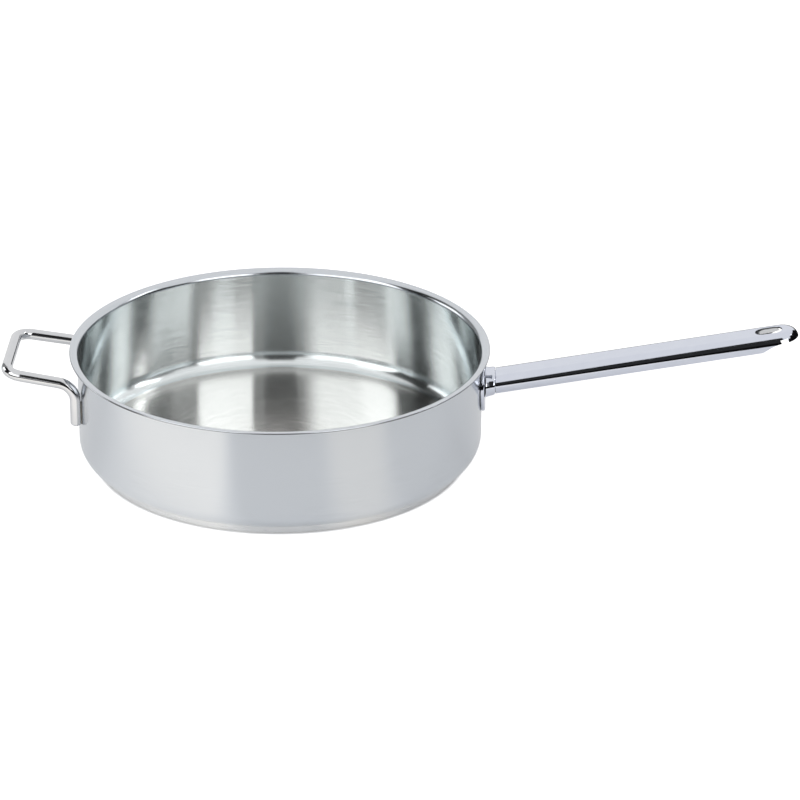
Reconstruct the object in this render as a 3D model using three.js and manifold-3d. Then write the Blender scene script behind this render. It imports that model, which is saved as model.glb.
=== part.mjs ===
// A 28 cm saute pan in stainless steel: a drawn vessel with a pouring lip, a base with a sealed
// aluminium core, a long tubular handle on a welded plate, and a helper handle bent from rod.
// Millimetres, +Z up. The origin is the middle of the base's underside, on the pan's axis.
// +X runs along the long handle, and the helper handle is on -X.

import * as THREE from "three";
import { mergeVertices } from "three/addons/utils/BufferGeometryUtils.js";
import Module from "manifold-3d";

const wasm = await Module();
wasm.setup();

const degrees = Math.PI / 180;

// Vessel
const innerDiameter = 280;
const sheet = 1.2;
const panHeight = 81.5; // table to the top of the lip
const cornerRadius = 11; // inside, between wall and bottom
const lipReach = 5.3; // from the outside of the wall to the lip's edge
const lipBend = 2.3; // radius under the lip where it leaves the wall
const lipSlope = 7 * degrees; // the lip rises to its edge

// Base
const coreThickness = 5;
const capSheet = 0.8;
const capEdgeRadius = 2.4; // rounded lower edge of the cap
const baseOverhang = 1; // base edge past the flat of the vessel's bottom
const bondLine = 0.05; // between the layers of the base
const coreClearance = 0.2; // core to the side of the cap

// Long handle
const handleDrop = 25.9; // from the top of the lip down to the handle's axis at the wall
const handleTilt = 10.25 * degrees;
const handleLength = 221.8; // from the wall to the tip, along the axis
const tubeWidth = 25.6;
const tubeThickness = 13.2;
const tubeWall = 1.2;
const holeLength = 18.5; // hanging hole in the upper side
const holeWidth = 10.6;
const holeSetback = 19.9; // from the tip to the middle of the hole

// Cut-away underside of the handle's end, from the tip back and from the top down
const scoopStart = 27.5; // where the scooped cut leaves the underside
const scoopTurn = 20.6; // where it bends to run along the handle
const scoopTurnDepth = 7;
const scoopEnd = 12.4;
const cutDepth = 6.1; // the edges on both sides of the notch
const notchLength = 5.1;
const notchDepth = 3.6;
const notchLean = 0.9; // the notch's sides lean back by this

// Plate and collar that carry the long handle
const plateDiameter = 39.6;
const plateThickness = 2.2;
const plateEdgeRadius = 1.4;
const collarLength = 9.3; // from the wall to the collar's shoulder, along the handle's axis
const collarProud = 1; // over the tube, along the collar's middle
const collarFlare = 1.6; // over the tube, at the plate
const collarShoulder = 0.25; // over the tube, at the shoulder
const collarRound = 2.4; // length of the rounding to the shoulder
const spigotLength = 12;
const spigotClearance = 0.3;
const seatGap = 0.3;

// Helper handle
const rodDiameter = 7.8;
const helperReach = 46.8; // from the wall to the middle of the outer bar
const helperDrop = 15.6; // from the top of the lip to where arm and leg would meet
const helperRise = 8.9 * degrees;
const legSpan = 77; // between the legs' middles
const barSpan = 72.7; // between the outer corners' middles
const legBend = 13;
const barBend = 11.5;
const legFlat = 0.8; // taken off each leg where it sits on the wall
const legDrop = 30; // from the meeting of arm and leg to the leg's lower end
const legDome = 1.2; // height of the rounded end

// Welds
const weldGap = 0.5; // legs and plate stand off the wall by this, and the welds fill it
const weldClearance = 0.08;
const spotDiameter = 6;
const spotSpacing = 19;
const seamWidth = 3.6;
const seamLength = 16;

// Fineness of the facets
const panSegments = 72;
const arcSteps = 5;
const lipSteps = 4;
const edgeSteps = 3;
const ovalSteps = 12;
const scoopSteps = 8;
const noseSegments = 48;
const plateSegments = 40;
const spotSides = 16;
const rodSides = 16;
const rodSteps = 84;
const wallSegments = 360;

// Sizes that follow
const innerRadius = innerDiameter / 2;
const outerRadius = innerRadius + sheet;
const flatRadius = innerRadius - cornerRadius;
const lipRadius = outerRadius + lipReach;
const baseRadius = flatRadius + baseOverhang;
const coreBottom = capSheet + bondLine;
const coreTop = coreBottom + coreThickness;
const vesselBottom = coreTop + bondLine;
const plateSeat = outerRadius + weldGap;
const plateFace = plateSeat + plateThickness;
const handleHeight = panHeight - handleDrop;
const handleLean = Math.tan(handleTilt);
const rodRadius = rodDiameter / 2;

const point = (x, y) => new THREE.Vector2(x, y);
const spot = (x, y, z) => new THREE.Vector3(x, y, z);

// Carries a shape drawn across the handle, and drawn out along Z, to lie along X.
const alongX = new THREE.Matrix4().makeBasis(spot(0, 1, 0), spot(0, 0, 1), spot(1, 0, 0));

// Points of a round stretch from one angle to another.
function arc(x, y, radius, from, to, steps) {
  return Array.from({ length: steps + 1 }, (_, i) => {
    const angle = from + ((to - from) * i) / steps;
    return point(x + radius * Math.cos(angle), y + radius * Math.sin(angle));
  });
}

// A profile of radius and height turned about Z, given counter-clockwise.
function revolve(profile, segments) {
  return new THREE.LatheGeometry(profile, segments).rotateX(Math.PI / 2);
}

// An outline drawn out along Z.
function prism(outline, depth) {
  return new THREE.ExtrudeGeometry(new THREE.Shape(outline), { depth, bevelEnabled: false });
}

// Position and index alone, with shared corners and no collapsed triangles.
function closed(geometry) {
  const bare = geometry.clone();
  bare.deleteAttribute("normal");
  bare.deleteAttribute("uv");
  const merged = mergeVertices(bare);
  const corners = merged.index.array;
  const kept = [];
  for (let i = 0; i < corners.length; i += 3) {
    const [a, b, c] = corners.slice(i, i + 3);
    if (a !== b && b !== c && c !== a) kept.push(a, b, c);
  }
  merged.setIndex(kept);
  return merged;
}

function solid(geometry) {
  const body = closed(geometry);
  const vertProperties = new Float32Array(body.attributes.position.array);
  const triVerts = new Uint32Array(body.index.array);
  return new wasm.Manifold(new wasm.Mesh({ numProp: 3, vertProperties, triVerts }));
}

function surface(manifold) {
  const mesh = manifold.getMesh();
  const geometry = new THREE.BufferGeometry();
  geometry.setAttribute("position", new THREE.BufferAttribute(mesh.vertProperties, 3));
  geometry.setIndex(new THREE.BufferAttribute(mesh.triVerts, 1));
  return geometry;
}

// Bends a flat piece round the pan: x is its height over the radius, y its run round the wall.
function rollRound(geometry, radius) {
  const place = geometry.attributes.position;
  for (let i = 0; i < place.count; i++) {
    const reach = radius + place.getX(i);
    const turn = place.getY(i) / radius;
    place.setXYZ(i, reach * Math.cos(turn), reach * Math.sin(turn), place.getZ(i));
  }
  return geometry;
}

// An upright cylinder on the pan's axis, taller than the pan.
function drum(radius) {
  const cylinder = new THREE.CylinderGeometry(radius, radius, 2 * panHeight, wallSegments);
  return cylinder.rotateX(Math.PI / 2).translate(0, 0, panHeight / 2);
}

// Flat oval across the handle: flat above and below, half round at the sides.
function flatOval(width, thickness) {
  const radius = thickness / 2;
  const middle = width / 2 - radius;
  return [
    ...arc(middle, 0, radius, -Math.PI / 2, Math.PI / 2, ovalSteps),
    ...arc(-middle, 0, radius, Math.PI / 2, (3 * Math.PI) / 2, ovalSteps),
  ];
}

// A closed skin through outlines of equal count, each at its own place along X. The outlines lean
// back, so that they stand upright once the handle is tilted.
function loft(stations) {
  const count = stations[0].outline.length;
  const places = [];
  for (const { x, outline } of stations) {
    for (const { x: y, y: z } of outline) places.push(x + handleLean * z, y, z);
  }
  const first = 0;
  const last = (stations.length - 1) * count;
  const index = [];
  for (let ring = first; ring < last; ring += count) {
    for (let i = 0; i < count; i++) {
      const next = (i + 1) % count;
      index.push(ring + i, ring + next, ring + count + next);
      index.push(ring + i, ring + count + next, ring + count + i);
    }
  }
  for (let i = 1; i < count - 1; i++) {
    index.push(first, first + i + 1, first + i);
    index.push(last, last + i, last + i + 1);
  }
  const geometry = new THREE.BufferGeometry();
  geometry.setAttribute("position", new THREE.Float32BufferAttribute(places, 3));
  geometry.setIndex(index);
  return geometry;
}

// Part of a circle in space that leaves a line smoothly.
class Bend extends THREE.Curve {
  constructor(centre, start, heading, turn) {
    super();
    this.centre = centre;
    this.spoke = start.clone().sub(centre);
    this.heading = heading.clone().multiplyScalar(this.spoke.length());
    this.turn = turn;
  }

  getPoint(t, target = new THREE.Vector3()) {
    const angle = this.turn * t;
    target.copy(this.centre);
    target.addScaledVector(this.spoke, Math.cos(angle));
    return target.addScaledVector(this.heading, Math.sin(angle));
  }
}

// Straight runs between corners, each inner corner bent to its radius.
function bentPath(corners, radii) {
  const path = new THREE.CurvePath();
  let from = corners[0];
  radii.forEach((radius, i) => {
    const corner = corners[i + 1];
    const incoming = corner.clone().sub(corners[i]).normalize();
    const outgoing = corners[i + 2].clone().sub(corner).normalize();
    const turn = incoming.angleTo(outgoing);
    const run = radius * Math.tan(turn / 2);
    const start = corner.clone().addScaledVector(incoming, -run);
    const inward = outgoing.clone().sub(incoming).normalize();
    const centre = corner.clone().addScaledVector(inward, radius / Math.cos(turn / 2));
    path.add(new THREE.LineCurve3(from, start));
    path.add(new Bend(centre, start, incoming, turn));
    from = corner.clone().addScaledVector(outgoing, run);
  });
  path.add(new THREE.LineCurve3(from, corners.at(-1)));
  return path;
}

const steel = (color, roughness) =>
  new THREE.MeshStandardMaterial({ color, roughness, metalness: 1 });

function piece(name, geometry, material) {
  const mesh = new THREE.Mesh(geometry, material);
  mesh.name = name;
  return mesh;
}

// Vessel: flat bottom, round corner, straight wall, and a lip that turns out with a small bend.
function vessel() {
  const inside = vesselBottom + sheet;
  const cornerHeight = inside + cornerRadius;
  const bendMiddle = lipBend + sheet / 2;
  const edgeRadius = sheet / 2;
  const bendX = outerRadius + lipBend;
  const lipRun =
    (lipReach - lipBend + bendMiddle * Math.sin(lipSlope) - edgeRadius) / Math.cos(lipSlope);
  const edgeX = lipRadius - edgeRadius;
  const edgeY = panHeight - edgeRadius;
  const bendY = edgeY - lipRun * Math.sin(lipSlope) - bendMiddle * Math.cos(lipSlope);
  const level = Math.PI / 2 + lipSlope;
  const profile = [
    point(0, vesselBottom),
    ...arc(flatRadius, cornerHeight, cornerRadius + sheet, -Math.PI / 2, 0, arcSteps),
    ...arc(bendX, bendY, lipBend, Math.PI, level, lipSteps),
    ...arc(edgeX, edgeY, edgeRadius, level - Math.PI, level, lipSteps),
    ...arc(bendX, bendY, lipBend + sheet, level, Math.PI, lipSteps),
    ...arc(flatRadius, cornerHeight, cornerRadius, 0, -Math.PI / 2, arcSteps),
    point(0, inside),
  ];
  return revolve(profile, panSegments);
}

function baseCore() {
  const radius = baseRadius - capSheet - coreClearance;
  const edge = capEdgeRadius - capSheet;
  const profile = [
    point(0, coreBottom),
    ...arc(radius - edge, coreBottom + edge, edge, -Math.PI / 2, 0, edgeSteps),
    point(radius, coreTop),
    point(0, coreTop),
  ];
  return revolve(profile, panSegments);
}

// Shallow dish whose rim closes against the vessel's bottom.
function baseCap() {
  const inner = baseRadius - capSheet;
  const edgeX = baseRadius - capEdgeRadius;
  const profile = [
    point(0, 0),
    ...arc(edgeX, capEdgeRadius, capEdgeRadius, -Math.PI / 2, 0, edgeSteps),
    point(baseRadius, coreTop),
    point(inner, coreTop),
    ...arc(edgeX, capEdgeRadius, capEdgeRadius - capSheet, 0, -Math.PI / 2, edgeSteps),
    point(0, capSheet),
  ];
  return revolve(profile, panSegments);
}

// Round plate with a rounded outer edge, pressed to the curve of the wall.
function handlePlate() {
  const radius = plateDiameter / 2;
  const flat = radius - plateEdgeRadius;
  const rings = [flat / 3, (2 * flat) / 3];
  const profile = [
    point(0, 0),
    ...rings.map((ring) => point(ring, 0)),
    point(radius, 0),
    ...arc(flat, plateThickness - plateEdgeRadius, plateEdgeRadius, 0, Math.PI / 2, edgeSteps),
    ...rings.toReversed().map((ring) => point(ring, plateThickness)),
    point(0, plateThickness),
  ];
  const flatPlate = revolve(profile, plateSegments).applyMatrix4(alongX);
  return closed(rollRound(flatPlate, plateSeat));
}

function spotWeld(across, up) {
  const height = weldGap - 2 * weldClearance;
  const radius = spotDiameter / 2;
  const button = new THREE.CylinderGeometry(radius, radius, height, spotSides);
  button.rotateZ(-Math.PI / 2).translate(weldClearance + height / 2, across, up);
  return closed(rollRound(button, outerRadius));
}

// Place of the long handle: its axis leaves the wall and rises outwards.
const handle = new THREE.Group();
handle.position.set(outerRadius, 0, handleHeight);
handle.rotation.y = -handleTilt;
handle.updateMatrix();

// Collar that flares to the plate, with a rounded shoulder for the tube and a spigot inside it.
function handleCollar() {
  const over = (proud) => flatOval(tubeWidth + 2 * proud, tubeThickness + 2 * proud);
  const spigot = over(-tubeWall - spigotClearance);
  const flareEnd = (plateFace - outerRadius) / Math.cos(handleTilt);
  const roundStart = collarLength - collarRound;
  const flareMiddle = (flareEnd + roundStart) / 2;
  const rounding = arc(roundStart, collarShoulder, 1, Math.PI / 2, 0, edgeSteps).map((way) => ({
    x: roundStart + (way.x - roundStart) * collarRound,
    outline: over(collarShoulder + (way.y - collarShoulder) * (collarProud - collarShoulder)),
  }));
  const shape = loft([
    { x: 0, outline: over(collarFlare) },
    { x: flareEnd, outline: over(collarFlare) },
    { x: flareMiddle, outline: over(collarProud + (collarFlare - collarProud) / 4) },
    ...rounding,
    { x: collarLength, outline: spigot },
    { x: collarLength + spigotLength, outline: spigot },
  ]);
  const seat = drum(plateFace + seatGap).applyMatrix4(handle.matrix.clone().invert());
  return surface(solid(shape).subtract(solid(seat)));
}

// Flat-oval bar with a bullnose end, between a start on the axis and its round end.
function bullnoseBar(start, tip, width, thickness) {
  const nose = tip - width / 2;
  const shaft = prism(flatOval(width, thickness), nose - start).applyMatrix4(alongX);
  shaft.translate(start, 0, 0);
  const radius = thickness / 2;
  const profile = [
    point(0, -radius),
    ...arc(width / 2 - radius, 0, radius, -Math.PI / 2, Math.PI / 2, ovalSteps),
    point(0, radius),
  ];
  const end = revolve(profile, noseSegments).translate(nose, 0, 0);
  return solid(shaft).add(solid(end));
}

// Hollow handle: closed bullnose end, a hanging hole above, and an underside scooped away to a
// hook behind the tip. Its open end stands upright against the collar.
function handleTube() {
  const start = collarLength + seatGap;
  const tip = handleLength;
  const top = tubeThickness / 2;
  const below = -2 * tubeThickness;
  const outside = bullnoseBar(start - tubeThickness, tip, tubeWidth, tubeThickness);
  const inside = bullnoseBar(
    start - 2 * tubeThickness,
    tip - tubeWall,
    tubeWidth - 2 * tubeWall,
    tubeThickness - 2 * tubeWall,
  );

  const fromTip = (back, depth) => point(tip - back, top - depth);
  const scoop = new THREE.QuadraticBezierCurve(
    fromTip(scoopStart, tubeThickness),
    fromTip(scoopTurn, scoopTurnDepth),
    fromTip(scoopEnd, cutDepth),
  );
  const cutOutline = [
    point(tip - scoopStart, below),
    ...scoop.getPoints(scoopSteps),
    fromTip(scoopEnd + notchLean, notchDepth),
    fromTip(scoopEnd - notchLength + notchLean, notchDepth),
    fromTip(scoopEnd - notchLength, cutDepth),
    fromTip(-tubeWall, cutDepth),
    point(tip + tubeWall, below),
  ];
  const cut = prism(cutOutline, 2 * tubeWidth).rotateX(Math.PI / 2).translate(0, tubeWidth, 0);

  const holeOutline = flatOval(holeLength, holeWidth);
  const hole = prism(holeOutline, tubeThickness).translate(tip - holeSetback, 0, 0);

  const tube = outside.subtract(inside).subtract(solid(cut)).subtract(solid(hole));
  const upright = [Math.cos(handleTilt), 0, -Math.sin(handleTilt)];
  return surface(tube.trimByPlane(upright, start * Math.cos(handleTilt)));
}

// Helper handle: legs down the wall, arms that rise outwards and draw together, and the outer bar.
const legReach = outerRadius + weldGap + rodRadius - legFlat;
const legX = Math.sqrt(legReach ** 2 - (legSpan / 2) ** 2);
const legTurn = Math.asin(legSpan / 2 / legReach);
const meetHeight = panHeight - helperDrop;
const legEnd = meetHeight - legDrop;

function helperHandle() {
  const barX = outerRadius + helperReach;
  const barHeight = meetHeight + (barX - legX) * Math.tan(helperRise);
  const side = (sign) => [
    spot(-legX, (sign * legSpan) / 2, legEnd + legDome),
    spot(-legX, (sign * legSpan) / 2, meetHeight),
    spot(-barX, (sign * barSpan) / 2, barHeight),
  ];
  const corners = [...side(-1), ...side(1).toReversed()];
  const route = bentPath(corners, [legBend, barBend, barBend, legBend]);
  const section = arc(0, 0, rodRadius, 0, 2 * Math.PI, rodSides).slice(0, -1);
  const rod = new THREE.ExtrudeGeometry(new THREE.Shape(section), {
    steps: rodSteps,
    extrudePath: route,
  });
  const domeRadius = rodRadius * Math.cos(Math.PI / rodSides);
  const ends = [corners[0], corners.at(-1)].map(({ x, y, z }) => {
    const dome = new THREE.SphereGeometry(domeRadius, 2 * rodSides, rodSides);
    return solid(dome.scale(1, 1, legDome / domeRadius).translate(x, y, z));
  });
  const whole = ends.reduce((sum, end) => sum.add(end), solid(rod));
  return surface(whole.subtract(solid(drum(outerRadius + weldGap))));
}

// Seam between the flat of a leg and the wall, drawn with the leg on +X.
function legSeam() {
  const height = weldGap - 2 * weldClearance;
  const strip = new THREE.BoxGeometry(height, seamWidth, seamLength, 1, 2, 1);
  return closed(rollRound(strip.translate(weldClearance + height / 2, 0, 0), outerRadius));
}

const pan = new THREE.Group();
pan.add(piece("pan_body", closed(vessel()), steel(0xc6c9d1, 0.32)));
pan.add(piece("base_core", closed(baseCore()), steel(0xb4b7ba, 0.5)));
pan.add(piece("base_cap", closed(baseCap()), steel(0xbfc2ca, 0.36)));

const plate = piece("handle_plate", handlePlate(), steel(0xd2d4da, 0.16));
plate.position.z = handleHeight;
pan.add(plate);

[-1, 1].forEach((across, column) => {
  [-1, 1].forEach((up, row) => {
    const button = spotWeld((across * spotSpacing) / 2, (up * spotSpacing) / 2);
    const weld = piece(`plate_weld_${2 * column + row + 1}`, button, steel(0x9a9da3, 0.55));
    weld.position.z = handleHeight;
    pan.add(weld);
  });
});

handle.add(piece("handle_collar", handleCollar(), steel(0xd2d4da, 0.16)));
handle.add(piece("handle_tube", handleTube(), steel(0xd6d8de, 0.1)));
pan.add(handle);

pan.add(piece("helper_handle", helperHandle(), steel(0xd4d6dc, 0.12)));
for (const [name, sign] of [["helper_weld_front", 1], ["helper_weld_rear", -1]]) {
  const seam = piece(name, legSeam(), steel(0x9a9da3, 0.55));
  seam.rotation.z = Math.PI + sign * legTurn;
  seam.position.z = legEnd + legDome + seamLength / 2;
  pan.add(seam);
}

export default pan;
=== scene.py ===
import math

import bmesh
import bpy
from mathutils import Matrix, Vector


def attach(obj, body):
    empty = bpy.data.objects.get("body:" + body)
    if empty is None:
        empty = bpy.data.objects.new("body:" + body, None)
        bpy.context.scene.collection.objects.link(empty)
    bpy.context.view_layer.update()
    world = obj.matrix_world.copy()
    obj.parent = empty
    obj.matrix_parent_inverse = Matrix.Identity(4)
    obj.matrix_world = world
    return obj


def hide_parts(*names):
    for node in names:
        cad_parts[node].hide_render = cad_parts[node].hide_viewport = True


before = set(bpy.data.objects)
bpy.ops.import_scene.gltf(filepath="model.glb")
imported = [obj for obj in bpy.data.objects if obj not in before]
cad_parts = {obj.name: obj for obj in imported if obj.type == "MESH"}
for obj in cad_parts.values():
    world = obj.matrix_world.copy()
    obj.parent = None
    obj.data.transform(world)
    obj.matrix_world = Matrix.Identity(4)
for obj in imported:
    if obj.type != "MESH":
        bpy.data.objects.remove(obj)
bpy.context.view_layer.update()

# Vessel
# Drawn from one stainless sheet: flat bottom, rounded corner, straight wall and a lip that turns
# out with a small bend. Satin outside, brushed round the axis inside, and trimmed at its edge.
MM = 0.001
NEAR = 0.02 * MM
SHARP_ANGLE = math.radians(50)
PAN_SIDES = 240
SHEET = 1.2 * MM
INNER_RADIUS = 140 * MM
OUTER_RADIUS = INNER_RADIUS + SHEET
INNER_BOTTOM = 7.1 * MM
OUTER_BOTTOM = INNER_BOTTOM - SHEET
CORNER_RADIUS = 11 * MM
LIP_SLOPE = math.radians(7)
LIP_TOP = Vector((146.42, 81.57)) * MM
LIP_BEND = 3.5 * MM
LIP_EDGE = 0.56 * MM


def begin(name):
    """Names the primitive that was just added, puts its place in its mesh and opens it."""
    piece = bpy.context.object
    piece.name = name
    piece.data.name = name
    bpy.ops.object.transform_apply(location=True, rotation=True, scale=True)
    bpy.ops.object.mode_set(mode="EDIT")
    bpy.ops.mesh.select_mode(type="EDGE")
    bpy.ops.mesh.select_all(action="SELECT")
    return piece


def choose(piece, kind, test):
    """Selects the verts, edges or faces of the open piece that pass a test."""
    bpy.ops.mesh.select_mode(type=kind)
    bpy.ops.mesh.select_all(action="DESELECT")
    shape = bmesh.from_edit_mesh(piece.data)
    for one in {"VERT": shape.verts, "EDGE": shape.edges, "FACE": shape.faces}[kind]:
        if test(one):
            one.select = True
    shape.select_flush_mode()
    bmesh.update_edit_mesh(piece.data)


def near(value, target):
    return abs(value - target) < NEAR


def radius_of(vert):
    return math.hypot(vert.co.x, vert.co.y)


def round_ring(piece, radius, height, offset, segments):
    """Rounds the corner of a turned piece that runs round at a radius and height."""
    choose(
        piece,
        "EDGE",
        lambda edge: all(near(radius_of(v), radius) and near(v.co.z, height) for v in edge.verts),
    )
    bpy.ops.mesh.bevel(offset=offset, segments=segments, profile=0.5, affect="EDGES")


def face_outwards():
    """Points every face of the open piece outwards."""
    bpy.ops.mesh.select_all(action="SELECT")
    bpy.ops.mesh.normals_make_consistent(inside=False)


def turn_profile(name, profile):
    """A closed turned shape: a filled circle whose edge is drawn out ring by ring, then filled."""
    radius, height = profile[0]
    bpy.ops.object.select_all(action="DESELECT")
    bpy.ops.mesh.primitive_circle_add(
        vertices=PAN_SIDES, radius=radius, fill_type="NGON", location=(0, 0, height)
    )
    piece = begin(name)
    choose(piece, "EDGE", lambda edge: edge.is_boundary)
    for next_radius, next_height in profile[1:]:
        step = (0, 0, next_height - height)
        bpy.ops.mesh.extrude_region_move(TRANSFORM_OT_translate={"value": step})
        bpy.ops.transform.resize(value=(next_radius / radius, next_radius / radius, 1))
        radius, height = next_radius, next_height
    bpy.ops.mesh.edge_face_add()
    face_outwards()
    return piece


def apply_modifier(piece, kind, **settings):
    """Adds a modifier, applies it, and leaves the piece open."""
    bpy.ops.object.mode_set(mode="OBJECT")
    modifier = piece.modifiers.new(kind.title(), kind)
    for name, value in settings.items():
        setattr(modifier, name, value)
    bpy.ops.object.modifier_apply(modifier=modifier.name)
    bpy.ops.object.mode_set(mode="EDIT")


def hand_over(piece, node):
    """Smooths a finished piece, lets its large faces keep their own normals, and fits it in."""
    bpy.ops.object.mode_set(mode="OBJECT")
    bpy.ops.object.shade_smooth_by_angle(angle=SHARP_ANGLE)
    apply_modifier(piece, "WEIGHTED_NORMAL", keep_sharp=True)
    bpy.ops.object.mode_set(mode="OBJECT")
    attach(piece, "root")
    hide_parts(node)


lip_corner = LIP_TOP.y - (LIP_TOP.x - INNER_RADIUS) * math.tan(LIP_SLOPE)
lip_under = LIP_TOP + SHEET * Vector((math.sin(LIP_SLOPE), -math.cos(LIP_SLOPE)))
neck = lip_under.y - (lip_under.x - OUTER_RADIUS) * math.tan(LIP_SLOPE)
vessel = turn_profile(
    "vessel",
    [
        (INNER_RADIUS, INNER_BOTTOM),
        (INNER_RADIUS, lip_corner),
        LIP_TOP,
        lip_under,
        (OUTER_RADIUS, neck),
        (OUTER_RADIUS, OUTER_BOTTOM),
    ],
)
half_turn = math.tan((math.pi / 2 - LIP_SLOPE) / 2)
round_ring(vessel, INNER_RADIUS, INNER_BOTTOM, CORNER_RADIUS, segments=12)
round_ring(vessel, OUTER_RADIUS, OUTER_BOTTOM, CORNER_RADIUS + SHEET, segments=12)
round_ring(vessel, INNER_RADIUS, lip_corner, LIP_BEND * half_turn, segments=8)
round_ring(vessel, OUTER_RADIUS, neck, (LIP_BEND - SHEET) * half_turn, segments=6)
round_ring(vessel, LIP_TOP.x, LIP_TOP.y, LIP_EDGE, segments=4)
round_ring(vessel, lip_under.x, lip_under.y, LIP_EDGE, segments=4)
hand_over(vessel, "pan_body")

# Worked stainless: fine lines run round the axis, so a highlight spreads across them, up the wall
# and along the radius of the bottom, and they show as short light and dark streaks that come and
# go. The real lines are 0.1 to 0.3 mm apart and are drawn 0.8 mm apart so that they show.
LINE_SPACING = 0.8 * MM
LINE_STRETCH = 0.04
PATCH_SIZE = 26 * MM
PATCH_RANGE = (0.35, 0.65)
PATCH_GAIN = (0.7, 2.6)


def flat_hex(text):
    """The linear colour of an sRGB hex value."""
    parts = [int(text[i : i + 2], 16) / 255 for i in (1, 3, 5)]
    linear = [p / 12.92 if p <= 0.04045 else ((p + 0.055) / 1.055) ** 2.4 for p in parts]
    return (*linear, 1)


def add_node(tree, kind, settings=None, **feeds):
    """Adds a node, sets its properties, and feeds its named inputs with values or sockets."""
    node = tree.nodes.new(kind)
    for name, value in (settings or {}).items():
        setattr(node, name, value)
    for name, value in feeds.items():
        key = int(name[1:]) if name[1:].isdigit() else name.replace("_", " ")
        if isinstance(value, bpy.types.NodeSocket):
            tree.links.new(value, node.inputs[key])
        else:
            node.inputs[key].default_value = value
    return node


def new_finish(name):
    """A material with an empty node tree, and that tree."""
    finish = bpy.data.materials.new(name)
    finish.use_nodes = True
    finish.node_tree.nodes.clear()
    return finish, finish.node_tree


def bare_metal(tree, pattern, tints, rough, **more):
    """Ends a finish as bare metal, between a dark and a light tint that a pattern blends."""
    tone = add_node(
        tree,
        "ShaderNodeMix",
        {"data_type": "RGBA"},
        Factor=pattern,
        _6=flat_hex(tints[0]),
        _7=flat_hex(tints[1]),
    )
    skin = add_node(
        tree,
        "ShaderNodeBsdfPrincipled",
        Base_Color=tone.outputs[2],
        Metallic=1.0,
        Roughness=rough.outputs["Result"],
        **more,
    )
    add_node(tree, "ShaderNodeOutputMaterial", Surface=skin.outputs["BSDF"])


def turned_lines(tree):
    """Noise drawn out into lines round the axis, and the direction in which they run."""
    place = add_node(tree, "ShaderNodeTexCoord").outputs["Object"]
    flat = add_node(tree, "ShaderNodeVectorMath", {"operation": "MULTIPLY"}, _0=place, _1=(1, 1, 0))
    reach = add_node(tree, "ShaderNodeVectorMath", {"operation": "LENGTH"}, _0=flat.outputs[0])
    height = add_node(tree, "ShaderNodeSeparateXYZ", Vector=place).outputs["Z"]
    way = add_node(
        tree, "ShaderNodeMath", {"operation": "ADD"}, _0=reach.outputs["Value"], _1=height
    )
    low = add_node(
        tree, "ShaderNodeVectorMath", {"operation": "SCALE"}, _0=flat.outputs[0], Scale=LINE_STRETCH
    )
    lift = add_node(tree, "ShaderNodeCombineXYZ", Z=way.outputs[0])
    spot = add_node(
        tree, "ShaderNodeVectorMath", {"operation": "ADD"}, _0=low.outputs[0], _1=lift.outputs[0]
    )
    fine = add_node(
        tree,
        "ShaderNodeTexNoise",
        Vector=spot.outputs[0],
        Scale=1 / LINE_SPACING,
        Detail=3.0,
        Roughness=0.6,
    )
    centred = add_node(
        tree, "ShaderNodeMath", {"operation": "SUBTRACT"}, _0=fine.outputs["Fac"], _1=0.5
    )
    patch = add_node(tree, "ShaderNodeTexNoise", Vector=place, Scale=1 / PATCH_SIZE, Detail=1.0)
    gain = add_node(
        tree,
        "ShaderNodeMapRange",
        Value=patch.outputs["Fac"],
        From_Min=PATCH_RANGE[0],
        From_Max=PATCH_RANGE[1],
        To_Min=PATCH_GAIN[0],
        To_Max=PATCH_GAIN[1],
    )
    lines = add_node(
        tree,
        "ShaderNodeMath",
        {"operation": "MULTIPLY_ADD", "use_clamp": True},
        _0=centred.outputs[0],
        _1=gain.outputs["Result"],
        _2=0.5,
    )
    along = add_node(
        tree, "ShaderNodeVectorMath", {"operation": "CROSS_PRODUCT"}, _0=(0, 0, 1), _1=place
    )
    return lines.outputs[0], along.outputs[0]


def turned_steel(name, tints, roughness, spread, depth):
    """Stainless steel with lines of a depth round the axis, which spread its highlights."""
    finish, tree = new_finish(name)
    lines, along = turned_lines(tree)
    rough = add_node(
        tree, "ShaderNodeMapRange", Value=lines, To_Min=roughness[0], To_Max=roughness[1]
    )
    relief = add_node(tree, "ShaderNodeBump", Strength=1.0, Distance=depth, Height=lines)
    bare_metal(
        tree,
        lines,
        tints,
        rough,
        Anisotropic=spread,
        Anisotropic_Rotation=0.25,
        Tangent=along,
        Normal=relief.outputs["Normal"],
    )
    return finish


# Satin stainless: the outside, with even lines that blur the room into soft light and dark.
satin = turned_steel(
    "satin_stainless",
    tints=("#C4C8CD", "#CACED3"),
    roughness=(0.18, 0.22),
    spread=0.6,
    depth=0.001 * MM,
)
# Brushed stainless: the inner wall, with stripes of light that stretch up and down. Its tints are
# brighter than the outside of the same sheet: painted light.
brushed_lit = turned_steel(
    "brushed_lit_stainless",
    tints=("#D2D7D8", "#E8EDEE"),
    roughness=(0.15, 0.2),
    spread=1.0,
    depth=0.0004 * MM,
)
# Brushed bottom: the same lines on the flat bottom, in a darker and warmer grey than the wall:
# painted shade.
bottom_brushed_shaded = turned_steel(
    "brushed_bottom_shaded_stainless",
    tints=("#C6C4C1", "#DCDAD7"),
    roughness=(0.15, 0.2),
    spread=1.0,
    depth=0.0004 * MM,
)
# Trimmed stainless: a cut edge, left dull by the trimming wheel. Its tint, darker than its face, is
# painted shade.
trimmed_shaded = turned_steel(
    "trimmed_shaded_stainless",
    tints=("#6E7073", "#85878A"),
    roughness=(0.3, 0.4),
    spread=0.3,
    depth=0.001 * MM,
)
TRIM_REACH = 0.6 * MM
TRIM_TURN = 0.3
LEVEL_TURN = 0.95
SLACK = 0.01


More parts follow.
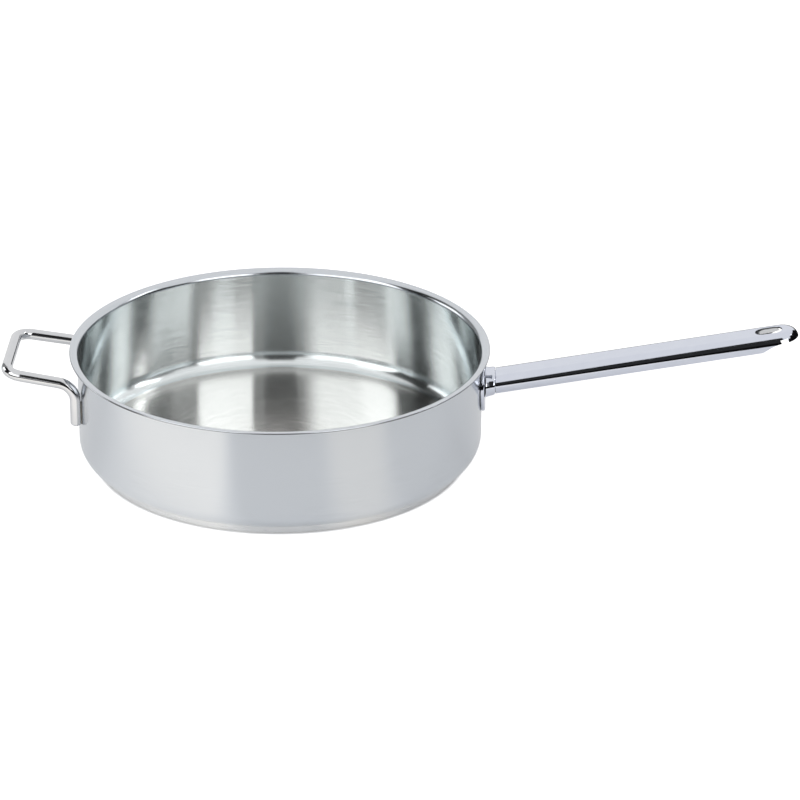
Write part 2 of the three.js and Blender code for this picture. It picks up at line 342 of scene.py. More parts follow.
def paint(piece, finish, test):
    """Gives one of the open piece's finishes to the faces that pass a test."""
    choose(piece, "FACE", test)
    piece.active_material_index = piece.data.materials.find(finish.name)
    bpy.ops.object.material_slot_assign()


def outward(face):
    return face.normal.to_2d().dot(face.calc_center_median().to_2d().normalized())


def inside_pan(face):
    low = all(radius_of(v) < INNER_RADIUS + NEAR for v in face.verts)
    return low and face.normal.z > -SLACK and outward(face) < SLACK


def flat_bottom(face):
    return inside_pan(face) and face.normal.z > LEVEL_TURN


def shaded_trimmed_edge(face):
    rim = all(radius_of(v) > LIP_TOP.x - TRIM_REACH for v in face.verts)
    return rim and face.normal.z < TRIM_TURN and outward(face) > TRIM_TURN


for finish in (satin, brushed_lit, trimmed_shaded, bottom_brushed_shaded):
    vessel.data.materials.append(finish)
bpy.ops.object.mode_set(mode="EDIT")
# The inner wall gets the brighter tints, which are painted light.
paint(vessel, brushed_lit, inside_pan)
# The lip's cut edge gets the trimmed finish, whose dark tint is painted shade.
paint(vessel, trimmed_shaded, shaded_trimmed_edge)
# The flat bottom gets the darker, warmer tints, which are painted shade.
paint(vessel, bottom_brushed_shaded, flat_bottom)
bpy.ops.object.mode_set(mode="OBJECT")

# Base cap
# A shallow stainless dish pressed over an aluminium core and bonded with it to the bottom. The core
# spreads the heat, and only the dish shows, with its side as a low band and its underside turned.
CAP_RADIUS = 130 * MM
CAP_HEIGHT = 5.85 * MM
CAP_SHEET = 0.8 * MM
CAP_EDGE = 2.4 * MM
CAP_TOP_EDGE = 0.2 * MM

cap = turn_profile(
    "base_dish",
    [
        (CAP_RADIUS, 0),
        (CAP_RADIUS, CAP_HEIGHT),
        (CAP_RADIUS - CAP_SHEET, CAP_HEIGHT),
        (CAP_RADIUS - CAP_SHEET, CAP_SHEET),
    ],
)
round_ring(cap, CAP_RADIUS, 0, CAP_EDGE, segments=6)
round_ring(cap, CAP_RADIUS - CAP_SHEET, CAP_SHEET, CAP_EDGE - CAP_SHEET, segments=4)
round_ring(cap, CAP_RADIUS, CAP_HEIGHT, CAP_TOP_EDGE, segments=2)
hand_over(cap, "base_cap")
# Turned stainless: the same lines as on the wall, rougher and paler. The paler tint is painted
# light, so the band looks light.
turned_base_lit = turned_steel(
    "turned_base_lit_stainless",
    tints=("#D0D2D4", "#E2E3E4"),
    roughness=(0.22, 0.3),
    spread=0.7,
    depth=0.001 * MM,
)
cap.data.materials.append(turned_base_lit)

# Rolled aluminium: pale and dull, with faint straight lines from the rollers. They are under 0.1 mm
# apart and are drawn 0.8 mm apart.
ROLL_SPACING = 0.8 * MM
ROLL_STRETCH = 0.04
rolled, tree = new_finish("rolled_aluminium")
place = add_node(tree, "ShaderNodeTexCoord").outputs["Object"]
drawn = add_node(tree, "ShaderNodeMapping", Vector=place, Scale=(ROLL_STRETCH, 1, 1))
grain = add_node(
    tree, "ShaderNodeTexNoise", Vector=drawn.outputs[0], Scale=1 / ROLL_SPACING, Detail=3.0
).outputs["Fac"]
rough = add_node(tree, "ShaderNodeMapRange", Value=grain, To_Min=0.34, To_Max=0.52)
bare_metal(tree, grain, ("#C9CACB", "#DBDCDD"), rough)
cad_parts["base_core"].material_slots[0].material = rolled

# Handle plate
# A round stainless plate with a rounded edge, stamped from sheet and pressed to the curve of the
# wall. Four spot welds under it hold it there, and it carries the long handle.
WELD_GAP = 0.5 * MM
PLATE_RADIUS = 19.8 * MM
PLATE_THICK = 2.2 * MM
PLATE_EDGE = 1.4 * MM
PLATE_SIDES = 96
PLATE_RINGS = 5
HANDLE_HEIGHT = 55.6 * MM
TILT = math.radians(10.25)

bpy.ops.object.select_all(action="DESELECT")
bpy.ops.mesh.primitive_circle_add(
    vertices=PLATE_SIDES, radius=PLATE_RADIUS, fill_type="NGON", rotation=(math.pi / 2, 0, 0)
)
plate = begin("handle_plate_round")
bpy.ops.mesh.select_mode(type="FACE")
for ring in range(PLATE_RINGS):
    bpy.ops.mesh.inset(thickness=PLATE_RADIUS / (PLATE_RINGS + 1))
bpy.ops.mesh.poke()
bpy.ops.mesh.select_all(action="SELECT")
bpy.ops.mesh.extrude_region_move(TRANSFORM_OT_translate={"value": (0, -PLATE_THICK, 0)})
choose(
    plate,
    "EDGE",
    lambda edge: all(
        near(math.hypot(v.co.x, v.co.z), PLATE_RADIUS) and near(v.co.y, -PLATE_THICK)
        for v in edge.verts
    ),
)
bpy.ops.mesh.bevel(offset=PLATE_EDGE, segments=6, profile=0.5, affect="EDGES")
face_outwards()
plate_seat = OUTER_RADIUS + WELD_GAP
apply_modifier(
    plate,
    "SIMPLE_DEFORM",
    deform_method="BEND",
    deform_axis="Z",
    angle=2 * PLATE_RADIUS / plate_seat,
)
bpy.ops.object.mode_set(mode="OBJECT")
plate.location = (plate_seat, 0, HANDLE_HEIGHT)
plate.rotation_euler = (0, 0, math.pi / 2)
bpy.ops.object.transform_apply(location=True, rotation=True, scale=True)
hand_over(plate, "handle_plate")

# Mirror-polished stainless: sharp reflections, softened a little in cloudy patches where the mop
# has passed, with hairlines 0.05 mm wide that are drawn 0.4 mm wide.
CLOUD_SIZE = 9 * MM
HAIRLINE_WIDTH = 0.4 * MM
HAIRLINE_STRETCH = 0.05


def along_handle(tree, stretch):
    """Object coordinates turned to the long handle and drawn out along it."""
    place = add_node(tree, "ShaderNodeTexCoord").outputs["Object"]
    return add_node(
        tree, "ShaderNodeMapping", Vector=place, Rotation=(0, TILT, 0), Scale=(stretch, 1, 1)
    ).outputs[0]


def polished_steel(name, tints):
    """Mirror-polished stainless between two tints."""
    finish, tree = new_finish(name)
    place = add_node(tree, "ShaderNodeTexCoord").outputs["Object"]
    cloud = add_node(tree, "ShaderNodeTexNoise", Vector=place, Scale=1 / CLOUD_SIZE, Detail=2.0)
    hair = add_node(
        tree,
        "ShaderNodeTexNoise",
        Vector=along_handle(tree, HAIRLINE_STRETCH),
        Scale=1 / HAIRLINE_WIDTH,
        Detail=2.0,
    )
    wear = add_node(
        tree,
        "ShaderNodeMath",
        {"operation": "MULTIPLY"},
        _0=cloud.outputs["Fac"],
        _1=hair.outputs["Fac"],
    )
    rough = add_node(
        tree,
        "ShaderNodeMapRange",
        Value=wear.outputs[0],
        From_Min=0.12,
        From_Max=0.45,
        To_Min=0.035,
        To_Max=0.11,
    )
    bare_metal(tree, cloud.outputs["Fac"], tints, rough)
    return finish


polished = polished_steel("polished_stainless", ("#CACEDA", "#D2D6E0"))
plate.data.materials.append(polished)

# Weld stainless: dull metal that set in small ripples, with a straw tint from the heat. The ripples
# are 0.6 mm apart.
RIPPLE_SPACING = 0.6 * MM
RIPPLE_DEPTH = 0.05 * MM
HEAT_SPACING = 2 * MM
weld_metal, tree = new_finish("weld_stainless")
place = add_node(tree, "ShaderNodeTexCoord").outputs["Object"]
ripple = add_node(
    tree, "ShaderNodeTexNoise", Vector=place, Scale=1 / RIPPLE_SPACING, Detail=3.0
).outputs["Fac"]
heat = add_node(
    tree, "ShaderNodeTexNoise", Vector=place, Scale=1 / HEAT_SPACING, Detail=1.0
).outputs["Fac"]
rough = add_node(tree, "ShaderNodeMapRange", Value=ripple, To_Min=0.3, To_Max=0.6)
relief = add_node(
    tree, "ShaderNodeBump", Distance=RIPPLE_DEPTH, Height=ripple, Strength=1.0
).outputs["Normal"]
bare_metal(tree, heat, ("#96989B", "#B5AE9E"), rough, Normal=relief)
for number in range(1, 5):
    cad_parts[f"plate_weld_{number}"].material_slots[0].material = weld_metal

# Collar
# A stainless ferrule between plate and tube. It flares to the plate and rounds down to the tube,
# and its spigot holds the tube from inside. Its rings stand upright, as the plate does.
TUBE_WIDTH = 25.6 * MM
TUBE_THICK = 13.2 * MM
COLLAR_LENGTH = 9.3 * MM
COLLAR_ROUND = 2.4 * MM
COLLAR_FLARE = 1.6 * MM
COLLAR_PROUD = 1.0 * MM
COLLAR_SHOULDER = 0.25 * MM
SPIGOT_LENGTH = 12 * MM
SPIGOT_IN = -1.5 * MM
OVAL_SIDES = 64
QUARTER_STEPS = 4
MIDLINE = 0.01 * MM

plate_face = plate_seat + PLATE_THICK
collar_start = (plate_face - OUTER_RADIUS) / math.cos(TILT)
round_start = COLLAR_LENGTH - COLLAR_ROUND
collar_rings = [
    (collar_start, COLLAR_FLARE),
    ((collar_start + round_start) / 2, COLLAR_PROUD + (COLLAR_FLARE - COLLAR_PROUD) / 4),
]
for step in range(QUARTER_STEPS + 1):
    swing = step * math.pi / (2 * QUARTER_STEPS)
    collar_rings.append(
        (
            round_start + COLLAR_ROUND * math.sin(swing),
            COLLAR_SHOULDER + (COLLAR_PROUD - COLLAR_SHOULDER) * math.cos(swing),
        )
    )
collar_rings += [(COLLAR_LENGTH, SPIGOT_IN), (COLLAR_LENGTH + SPIGOT_LENGTH, SPIGOT_IN)]

along, proud = collar_rings[0]
handle_start = Vector((OUTER_RADIUS, 0, HANDLE_HEIGHT))
handle_axis = Vector((math.cos(TILT), 0, math.sin(TILT)))
bpy.ops.object.select_all(action="DESELECT")
bpy.ops.mesh.primitive_circle_add(
    vertices=OVAL_SIDES,
    radius=TUBE_THICK / 2 + proud,
    location=handle_start + along * handle_axis,
    rotation=(0, math.pi / 2, 0),
)
collar = begin("collar_ferrule")
half_flat = (TUBE_WIDTH - TUBE_THICK) / 2
bpy.ops.transform.resize(value=(1, 1, 1 / math.cos(TILT)))
for side in (-1, 1):
    choose(collar, "VERT", lambda vert: vert.co.y * side > MIDLINE)
    bpy.ops.transform.translate(value=(0, side * half_flat, 0))
bpy.ops.mesh.select_all(action="SELECT")
bpy.ops.mesh.edge_face_add()
for next_along, next_proud in collar_rings[1:]:
    step = (next_along - along) * handle_axis
    bpy.ops.mesh.extrude_region_move(TRANSFORM_OT_translate={"value": step})
    wide = (TUBE_WIDTH / 2 + next_proud) / (TUBE_WIDTH / 2 + proud)
    high = (TUBE_THICK / 2 + next_proud) / (TUBE_THICK / 2 + proud)
    bpy.ops.transform.resize(value=(1, wide, high))
    along, proud = next_along, next_proud
face_outwards()
hand_over(collar, "handle_collar")
collar.data.materials.append(polished)

# Handle tube
# A flattened stainless tube, its end closed to a bullnose, with a slot to hang it by. Under the end
# the tube is cut away in a long scoop that ends in a small hook. Mirror polished.
TUBE_WALL = 1.2 * MM
TUBE_LENGTH = 221.8 * MM
SEAT_GAP = 0.3 * MM
NOSE_STEPS = 40
HOLE_LENGTH = 18.5 * MM
HOLE_WIDTH = 10.6 * MM
HOLE_SETBACK = 19.9 * MM
HOLE_ROUND = 0.35 * MM
SCOOP_START = 27.5 * MM
SCOOP_TURN = (20.6 * MM, 7 * MM)
SCOOP_END = 12.4 * MM
SCOOP_STEPS = 12
CUT_DEPTH = 6.1 * MM
NOTCH_LENGTH = 5.1 * MM
NOTCH_DEPTH = 3.6 * MM
NOTCH_LEAN = 0.9 * MM
DOUBLES = 0.005 * MM

# Drawn stainless: inside, the tube stays as it was drawn, paler and less sharp than the polish,
# with streaks along its length that are 0.2 mm wide and are drawn 0.5 mm wide.
STREAK_WIDTH = 0.5 * MM
STREAK_STRETCH = 0.05
drawn_steel, tree = new_finish("drawn_stainless")
streak = add_node(
    tree,
    "ShaderNodeTexNoise",
    Vector=along_handle(tree, STREAK_STRETCH),
    Scale=1 / STREAK_WIDTH,
    Detail=3.0,
).outputs["Fac"]
rough = add_node(tree, "ShaderNodeMapRange", Value=streak, To_Min=0.08, To_Max=0.2)
bare_metal(tree, streak, ("#C0C1C3", "#DADBDC"), rough)

nose = TUBE_LENGTH - TUBE_WIDTH / 2
bpy.ops.object.select_all(action="DESELECT")
bpy.ops.mesh.primitive_circle_add(
    vertices=OVAL_SIDES,
    radius=TUBE_THICK / 2,
    location=(nose, 0, 0),
    rotation=(0, math.pi / 2, 0),
)
tube = begin("handle_tube_bullnose")
for finish in (polished, drawn_steel, trimmed_shaded):
    tube.data.materials.append(finish)
choose(tube, "VERT", lambda vert: vert.co.y < -MIDLINE)
bpy.ops.mesh.delete(type="VERT")
bpy.ops.mesh.select_all(action="SELECT")
bpy.ops.transform.translate(value=(0, half_flat, 0))
for end in (-1, 1):
    choose(tube, "VERT", lambda vert: near(vert.co.z, end * TUBE_THICK / 2))
    bpy.ops.mesh.extrude_region_move(TRANSFORM_OT_translate={"value": (0, -half_flat, 0)})
bpy.ops.mesh.select_all(action="SELECT")
bpy.ops.mesh.spin(steps=NOSE_STEPS, angle=math.pi, center=(nose, 0, 0), axis=(0, 0, 1))
bpy.ops.mesh.select_all(action="SELECT")
bpy.ops.mesh.remove_doubles(threshold=DOUBLES)
choose(tube, "EDGE", lambda edge: edge.is_boundary)
to_collar = (COLLAR_LENGTH - TUBE_THICK - nose, 0, 0)
bpy.ops.mesh.extrude_region_move(TRANSFORM_OT_translate={"value": to_collar})
face_outwards()
bpy.ops.mesh.bisect(
    plane_co=(COLLAR_LENGTH + SEAT_GAP, 0, 0),
    plane_no=(math.cos(TILT), 0, -math.sin(TILT)),
    clear_inner=True,
)
apply_modifier(tube, "SOLIDIFY", thickness=TUBE_WALL, offset=-1, material_offset=1)
bpy.ops.object.mode_set(mode="OBJECT")


def cut_away(piece, cutter):
    """Takes a cutter's shape out of a piece, and the cutter out of the scene."""
    bpy.ops.object.mode_set(mode="OBJECT")
    bpy.ops.object.select_all(action="DESELECT")
    piece.select_set(True)
    bpy.context.view_layer.objects.active = piece
    apply_modifier(piece, "BOOLEAN", operation="DIFFERENCE", solver="EXACT", object=cutter)
    bpy.ops.object.mode_set(mode="OBJECT")
    bpy.data.objects.remove(cutter)


scoop_curve = []
for step in range(SCOOP_STEPS + 1):
    t = step / SCOOP_STEPS
    first, second, third = (1 - t) ** 2, 2 * t * (1 - t), t**2
    back = first * SCOOP_START + second * SCOOP_TURN[0] + third * SCOOP_END
    depth = first * TUBE_THICK + second * SCOOP_TURN[1] + third * CUT_DEPTH
    scoop_curve.append((back, depth))
scoop_outline = [
    (SCOOP_START, 2 * TUBE_THICK),
    *scoop_curve,
    (SCOOP_END + NOTCH_LEAN, NOTCH_DEPTH),
    (SCOOP_END - NOTCH_LENGTH + NOTCH_LEAN, NOTCH_DEPTH),
    (SCOOP_END - NOTCH_LENGTH, CUT_DEPTH),
    (-TUBE_WALL, CUT_DEPTH),
    (-TUBE_WALL, 2 * TUBE_THICK),
]
here = scoop_outline[0]
bpy.ops.object.select_all(action="DESELECT")
bpy.ops.mesh.primitive_plane_add(
    size=TUBE_WALL, location=(TUBE_LENGTH - here[0], -TUBE_WIDTH, TUBE_THICK / 2 - here[1])
)
scoop = begin("scoop_cutter")
bpy.ops.mesh.select_mode(type="VERT")
bpy.ops.mesh.merge(type="CENTER")
for there in scoop_outline[1:]:
    step = (here[0] - there[0], 0, here[1] - there[1])
    bpy.ops.mesh.extrude_region_move(TRANSFORM_OT_translate={"value": step})
    here = there
bpy.ops.mesh.select_all(action="SELECT")
bpy.ops.mesh.edge_face_add()
bpy.ops.mesh.extrude_region_move(TRANSFORM_OT_translate={"value": (0, 2 * TUBE_WIDTH, 0)})
face_outwards()
cut_away(tube, scoop)

hole_middle = TUBE_LENGTH - HOLE_SETBACK
bpy.ops.object.select_all(action="DESELECT")
bpy.ops.mesh.primitive_circle_add(
    vertices=OVAL_SIDES, radius=HOLE_WIDTH / 2, location=(hole_middle, 0, 0)
)
hole = begin("slot_cutter")
for side in (-1, 1):
    choose(hole, "VERT", lambda vert: (vert.co.x - hole_middle) * side > MIDLINE)
    bpy.ops.transform.translate(value=(side * (HOLE_LENGTH - HOLE_WIDTH) / 2, 0, 0))
bpy.ops.mesh.select_all(action="SELECT")
bpy.ops.mesh.edge_face_add()
bpy.ops.mesh.extrude_region_move(TRANSFORM_OT_translate={"value": (0, 0, TUBE_THICK)})
face_outwards()
cut_away(tube, hole)
bpy.ops.object.mode_set(mode="EDIT")


def at_hole(vert):
    wide = abs(vert.co.y) < HOLE_WIDTH / 2 + NEAR
    return wide and abs(vert.co.x - hole_middle) < HOLE_LENGTH / 2 + NEAR and vert.co.z > 0


def hole_edge(edge):
    on_top = all(at_hole(v) and near(v.co.z, TUBE_THICK / 2) for v in edge.verts)
    return on_top and abs(edge.calc_face_angle(0)) > 1


def hole_wall(face):
    return abs(face.normal.z) < TRIM_TURN and all(at_hole(v) for v in face.verts)


choose(tube, "EDGE", hole_edge)
bpy.ops.mesh.bevel(offset=HOLE_ROUND, segments=4, profile=0.5, affect="EDGES")
# The wall of the hole is a cut edge, so it has the trimmed finish, whose dark tint is painted
# shade.
paint(tube, trimmed_shaded, hole_wall)
bpy.ops.object.mode_set(mode="OBJECT")
tube.location = handle_start
tube.rotation_euler = (0, -TILT, 0)
bpy.ops.object.transform_apply(location=True, rotation=True, scale=True)
hand_over(tube, "handle_tube")

# Helper handle
# A stainless rod bent to a loop, for the second hand. Its legs lie against the wall, are flattened
# to its curve and rounded at their ends, and a weld seam along each leg holds it.
ROD_RADIUS = 3.9 * MM
ROD_SIDES = 40
LEG_X = -139.59 * MM
LEG_SPAN = 77 * MM
BAR_X = -188 * MM
BAR_SPAN = 72.7 * MM
LEG_END = 35.9 * MM
LEG_DOME = 2.2 * MM
MEET_HEIGHT = 65.9 * MM
BAR_HEIGHT = 73.48 * MM
LEG_BEND_RADIUS = 13 * MM
BAR_BEND_RADIUS = 11.5 * MM
BEND_STEPS = 16
DRUM_SIDES = 360

corners = [
    Vector((LEG_X, -LEG_SPAN / 2, LEG_END + LEG_DOME)),
    Vector((LEG_X, -LEG_SPAN / 2, MEET_HEIGHT)),
    Vector((BAR_X, -BAR_SPAN / 2, BAR_HEIGHT)),
    Vector((BAR_X, 0, BAR_HEIGHT)),
]
bpy.ops.object.select_all(action="DESELECT")
bpy.ops.mesh.primitive_circle_add(vertices=ROD_SIDES, radius=ROD_RADIUS, location=corners[0])
helper = begin("helper_rod")
here = corners[0]
for before, corner, after, bend in (
    (corners[0], corners[1], corners[2], LEG_BEND_RADIUS),
    (corners[1], corners[2], corners[3], BAR_BEND_RADIUS),
):
    way_in = (corner - before).normalized()
    way_out = (after - corner).normalized()
    turn = way_in.angle(way_out)
    bend_start = corner - bend * math.tan(turn / 2) * way_in
    bend_axis = way_in.cross(way_out).normalized()
    bpy.ops.mesh.extrude_region_move(TRANSFORM_OT_translate={"value": bend_start - here})
    bpy.ops.mesh.spin(
        steps=BEND_STEPS,
        angle=-turn,
        center=bend_start + bend * bend_axis.cross(way_in),
        axis=bend_axis,
    )
    here = corner + bend * math.tan(turn / 2) * way_out
bpy.ops.mesh.extrude_region_move(TRANSFORM_OT_translate={"value": corners[-1] - here})
choose(helper, "EDGE", lambda edge: all(near(v.co.z, corners[0].z) for v in edge.verts))
reach, sink = 1, 0
for step in range(1, QUARTER_STEPS):
    swing = step * math.pi / (2 * QUARTER_STEPS)
    dip = (0, 0, LEG_DOME * (sink - math.sin(swing)))
    bpy.ops.mesh.extrude_region_move(TRANSFORM_OT_translate={"value": dip})
    narrow = math.cos(swing) / reach
    bpy.ops.transform.resize(value=(narrow, narrow, 1))
    reach, sink = math.cos(swing), math.sin(swing)
dip = (0, 0, LEG_DOME * (sink - 1))
bpy.ops.mesh.extrude_region_move(TRANSFORM_OT_translate={"value": dip})
bpy.ops.mesh.merge(type="CENTER")
apply_modifier(helper, "MIRROR", use_axis=(False, True, False), merge_threshold=MIDLINE)
bpy.ops.mesh.select_all(action="SELECT")
bpy.ops.mesh.remove_doubles(threshold=DOUBLES)
face_outwards()
bpy.ops.object.mode_set(mode="OBJECT")
bpy.ops.object.select_all(action="DESELECT")
bpy.ops.mesh.primitive_cylinder_add(vertices=DRUM_SIDES, radius=plate_seat, depth=4 * LEG_SPAN)
wall_drum = bpy.context.object
cut_away(helper, wall_drum)
hand_over(helper, "helper_handle")
# Polished rod: the same mirror polish, a little warmer than the tube.
helper.data.materials.append(polished_steel("polished_rod_stainless", ("#C8C9CC", "#D2D3D5")))
for end in ("front", "rear"):
    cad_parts[f"helper_weld_{end}"].material_slots[0].material = weld_metal

# Camera
# It stands about two metres in front of the pan and one metre above the table, and looks down on
# it through a long lens. The shift slides the picture, so that the pan sits left of the middle.
CAMERA_PLACE = (0.1239, -2.2019, 1.0294)
CAMERA_AIM = Vector((-0.03206, 0.9181, -0.39498))
LENS_LENGTH = 154.97
SENSOR_WIDTH = 36
SHIFT = (0.0660, -0.0677)
FAR_LIMIT = 50

camera_data = bpy.data.cameras.new("photo_camera")
camera = bpy.data.objects.new("photo_camera", camera_data)
bpy.context.scene.collection.objects.link(camera)
bpy.context.scene.camera = camera
camera.location = CAMERA_PLACE
camera.rotation_euler = CAMERA_AIM.to_track_quat("-Z", "Y").to_euler()
camera_data.lens = LENS_LENGTH
camera_data.sensor_width = SENSOR_WIDTH
camera_data.shift_x, camera_data.shift_y = SHIFT
camera_data.clip_end = FAR_LIMIT

# Floor and light
# A white table in a white room. Polished metal shows what stands round it, so softboxes stand left
# and right of the camera and at the sides, with black cloth and cards between them for the dark
# bands. On the table the metal sees two warm painted pools of light and a painted shadow ring round
# the base.
ROOM_FILL = 0.5
TABLE_SIZE = 12
TABLE_GLOW = 0.265
POOL_GLOW = 0.42
RIGHT_POOL_SHARE = 0.4
PAINTED_SHADOW_RING = (128 * MM, 150 * MM)
RING_SHADE = 0.86
PAINTED_CONTACT_SHADOW = (129.8 * MM, 132.2 * MM)
TABLE_LIFT = 0.7


def seen_ray(tree):
    """One for camera, glossy and transmission rays, and zero for the others."""
    path = add_node(tree, "ShaderNodeLightPath")
    shine = add_node(
        tree,
        "ShaderNodeMath",
        {"operation": "MAXIMUM"},
        _0=path.outputs["Is Camera Ray"],
        _1=path.outputs["Is Glossy Ray"],
    )
    seen = add_node(
        tree,
        "ShaderNodeMath",
        {"operation": "MAXIMUM"},
        _0=shine.outputs[0],
        _1=path.outputs["Is Transmission Ray"],
    )
    return seen.outputs[0]


world = bpy.data.worlds.new("white_room")
bpy.context.scene.world = world
world.use_nodes = True
tree = world.node_tree
tree.nodes.clear()
level = add_node(tree, "ShaderNodeMapRange", Value=seen_ray(tree), To_Min=ROOM_FILL, To_Max=1.0)
room = add_node(
    tree, "ShaderNodeBackground", Color=flat_hex("#FFFFFF"), Strength=level.outputs["Result"]
)
add_node(tree, "ShaderNodeOutputWorld", Surface=room.outputs["Background"])

bpy.ops.object.select_all(action="DESELECT")
bpy.ops.mesh.primitive_plane_add(size=TABLE_SIZE)
floor = bpy.context.object
floor.name = "white_table"


def lit_beyond(tree, place, way, edge, soft):
    """One on the far side of an upright plane, with a soft edge, and zero before it."""
    across = add_node(
        tree, "ShaderNodeVectorMath", {"operation": "DOT_PRODUCT"}, _0=place, _1=(*way, 0)
    )
    return add_node(
        tree,
        "ShaderNodeMapRange",
        {"interpolation_type": "SMOOTHSTEP"},
        Value=across.outputs["Value"],
        From_Min=edge - soft,
        From_Max=edge + soft,
    ).outputs["Result"]


def painted_light_pool(tree, place, *sides):
    """One where a painted pool of light lies on the table, inside both of its sides."""
    first, second = (lit_beyond(tree, place, *side) for side in sides)
    return add_node(
        tree, "ShaderNodeMath", {"operation": "MULTIPLY"}, _0=first, _1=second
    ).outputs[0]


# White table top: matt white paint. It looks white and keeps the shadow, with a painted contact
# shadow at the base, and metal sees it darker than the room, with painted pools of light and a
# painted shadow ring. Each side of a pool has its direction, its place and its softness.
table_top, tree = new_finish("white_table_top")
place = add_node(tree, "ShaderNodeTexCoord").outputs["Object"]
left_pool = painted_light_pool(
    tree,
    place,
    ((-0.894, 0.448), -36.4 * MM, 20 * MM),
    ((-0.156, -0.988), 115 * MM, 75 * MM),
)
right_pool = painted_light_pool(
    tree,
    place,
    ((0.903, 0.429), -12 * MM, 20 * MM),
    ((-0.509, -0.861), 50 * MM, 20 * MM),
)
pool_sum = add_node(
    tree,
    "ShaderNodeMath",
    {"operation": "MULTIPLY_ADD"},
    _0=right_pool,
    _1=RIGHT_POOL_SHARE,
    _2=left_pool,
)
shown = add_node(
    tree,
    "ShaderNodeMath",
    {"operation": "MULTIPLY_ADD"},
    _0=pool_sum.outputs[0],
    _1=POOL_GLOW,
    _2=TABLE_GLOW,
)
flat = add_node(tree, "ShaderNodeVectorMath", {"operation": "MULTIPLY"}, _0=place, _1=(1, 1, 0))
reach = add_node(tree, "ShaderNodeVectorMath", {"operation": "LENGTH"}, _0=flat.outputs[0])
# Painted shadow: what metal sees of the table is darker in a ring round the base.
ring = add_node(
    tree,
    "ShaderNodeMapRange",
    {"interpolation_type": "SMOOTHSTEP"},
    Value=reach.outputs["Value"],
    From_Min=PAINTED_SHADOW_RING[0],
    From_Max=PAINTED_SHADOW_RING[1],
    To_Min=RING_SHADE,
    To_Max=1.0,
)
mirrored = add_node(
    tree,
    "ShaderNodeMath",
    {"operation": "MULTIPLY"},
    _0=shown.outputs[0],
    _1=ring.outputs["Result"],
)
# Painted shadow: the table's glow falls to nothing in a thin line where the base stands on it.
painted_contact_shadow = add_node(
    tree,
    "ShaderNodeMapRange",
    Value=reach.outputs["Value"],
    From_Min=PAINTED_CONTACT_SHADOW[0],
    From_Max=PAINTED_CONTACT_SHADOW[1],
    To_Min=0.0,
    To_Max=TABLE_LIFT,
)
path = add_node(tree, "ShaderNodeLightPath")
strength = add_node(
    tree,
    "ShaderNodeMapRange",
    Value=path.outputs["Is Camera Ray"],
    To_Min=mirrored.outputs[0],
    To_Max=painted_contact_shadow.outputs["Result"],
)
# Painted light: in what metal sees, the pools glow a little warm.
pools = add_node(
    tree,
    "ShaderNodeMath",
    {"operation": "ADD", "use_clamp": True},
    _0=left_pool,
    _1=right_pool,
)
warmth = add_node(
    tree,
    "ShaderNodeMath",
    {"operation": "MULTIPLY"},
    _0=pools.outputs[0],
    _1=path.outputs["Is Glossy Ray"],
)
pool_tint = add_node(
    tree,
    "ShaderNodeMix",
    {"data_type": "RGBA"},
    Factor=warmth.outputs[0],
    _6=flat_hex("#FFFFFF"),
    _7=flat_hex("#FFF9EF"),
)
matt = add_node(tree, "ShaderNodeBsdfDiffuse", Color=flat_hex("#F3F3F3"))
glow = add_node(
    tree, "ShaderNodeEmission", Color=pool_tint.outputs[2], Strength=strength.outputs["Result"]
)
bright = add_node(tree, "ShaderNodeAddShader", _0=matt.outputs[0], _1=glow.outputs[0])
cover = add_node(
    tree,
    "ShaderNodeMixShader",
    Fac=seen_ray(tree),
    _1=matt.outputs[0],
    _2=bright.outputs[0],
)
add_node(tree, "ShaderNodeOutputMaterial", Surface=cover.outputs[0])
floor.data.materials.append(table_top)

# The panels are parts of cylinders round the pan's axis. Far ones shape the light on the vessel and
# the helper handle, and low ones close by draw the dark line along the handle's side.
PANEL_DISTANCE = 2.6
CARD_DISTANCE = 0.45
PANEL_SIDES = 360


def rise(angle):
    """The height at which a far panel is seen at an angle above the table."""
    return PANEL_DISTANCE * math.tan(math.radians(angle))


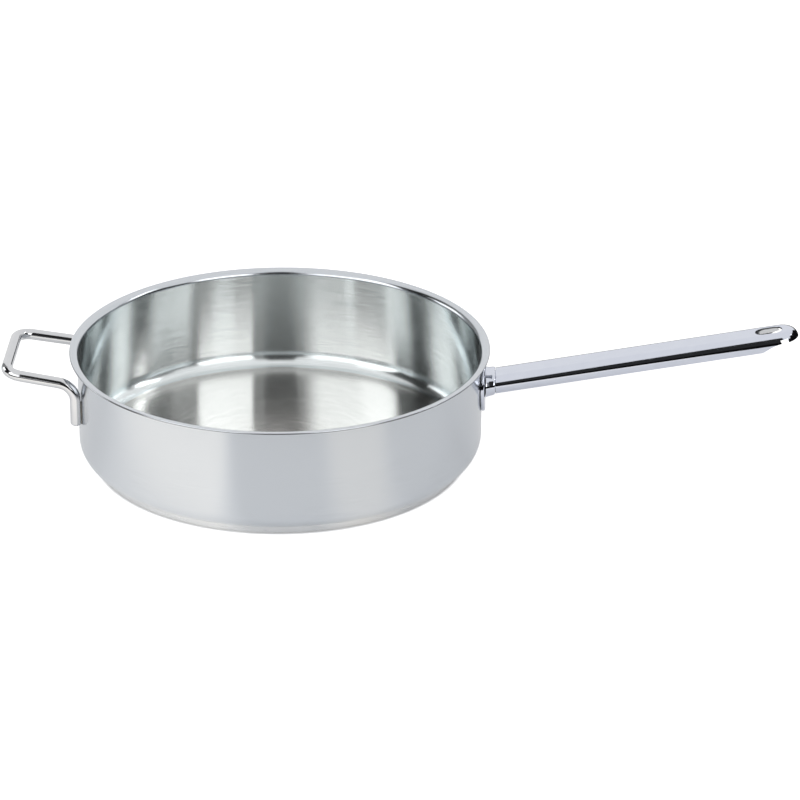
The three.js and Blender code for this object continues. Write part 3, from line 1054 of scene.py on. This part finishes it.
def stand_panel(name, azimuth, low, high, strength, distance=PANEL_DISTANCE, fade=0):
    """A panel between two angles to the right of the camera and two heights, whose light fades
    out over an angle at its right end. Only a softbox lights what is matt."""
    bpy.ops.object.select_all(action="DESELECT")
    bpy.ops.mesh.primitive_cylinder_add(
        vertices=PANEL_SIDES,
        radius=distance,
        depth=high - low,
        end_fill_type="NOTHING",
        location=(0, 0, (low + high) / 2),
    )
    panel = begin(name)
    middle = math.radians(sum(azimuth) / 2)
    half = math.radians(azimuth[1] - azimuth[0]) / 2
    toward = Vector((math.sin(middle), -math.cos(middle)))
    choose(
        panel, "FACE", lambda face: face.calc_center_median().to_2d().angle(toward) > half
    )
    bpy.ops.mesh.delete(type="FACE")
    bpy.ops.object.mode_set(mode="OBJECT")
    cloth, tree = new_finish(name)
    level = strength
    if fade:
        place = add_node(tree, "ShaderNodeTexCoord").outputs["Object"]
        end = math.radians(azimuth[1])
        inward = (-math.cos(end), -math.sin(end))
        soft = distance * math.sin(math.radians(fade)) / 2
        level = add_node(
            tree,
            "ShaderNodeMath",
            {"operation": "MULTIPLY"},
            _0=lit_beyond(tree, place, inward, soft, soft),
            _1=strength,
        ).outputs[0]
    shine = add_node(tree, "ShaderNodeEmission", Color=flat_hex("#FFFFFF"), Strength=level)
    add_node(tree, "ShaderNodeOutputMaterial", Surface=shine.outputs[0])
    panel.data.materials.append(cloth)
    panel.visible_camera = False
    panel.visible_diffuse = strength > 1
    panel.visible_shadow = False


stand_panel("softbox_left", (-50, -8), rise(10), rise(36), 2.4, fade=15)
stand_panel("softbox_left_end", (-72, -50), rise(10), rise(44), 2.5)
stand_panel("softbox_right", (20, 54), rise(10), rise(37), 2.65)
stand_panel("black_cloth", (-8, 13), 0, rise(60), 0.03)
stand_panel("grey_cloth", (13, 20), 0, rise(50), 0.25)
stand_panel("black_card_right", (54, 74), 0, rise(29), 0.02)
stand_panel("black_card_right_end", (74, 95), 0, rise(35), 0.02)
stand_panel("softbox_side", (95, 105), rise(26), rise(46), 4.5)
stand_panel("black_strip_side", (105, 109), 0, rise(46), 0.02)
stand_panel("black_card_left", (-100, -72), 0, rise(50), 0.02)
stand_panel("black_header_left", (-130, -100), rise(28), rise(50), 0.02)
stand_panel("softbox_back_left", (-125, -100), rise(10), rise(28), 2.2)
stand_panel("grey_card_back", (-150, -125), 0, rise(46), 0.3)
stand_panel("low_black_card", (0, 180), 0, 0.125, 0.006, CARD_DISTANCE)
stand_panel("low_black_card_left", (-75, 0), 0, 0.085, 0.006, CARD_DISTANCE)
stand_panel("black_card_tip", (84, 106), 0.1, 0.2, 0.006, CARD_DISTANCE)
bpy.context.scene.view_settings.view_transform = "Standard"
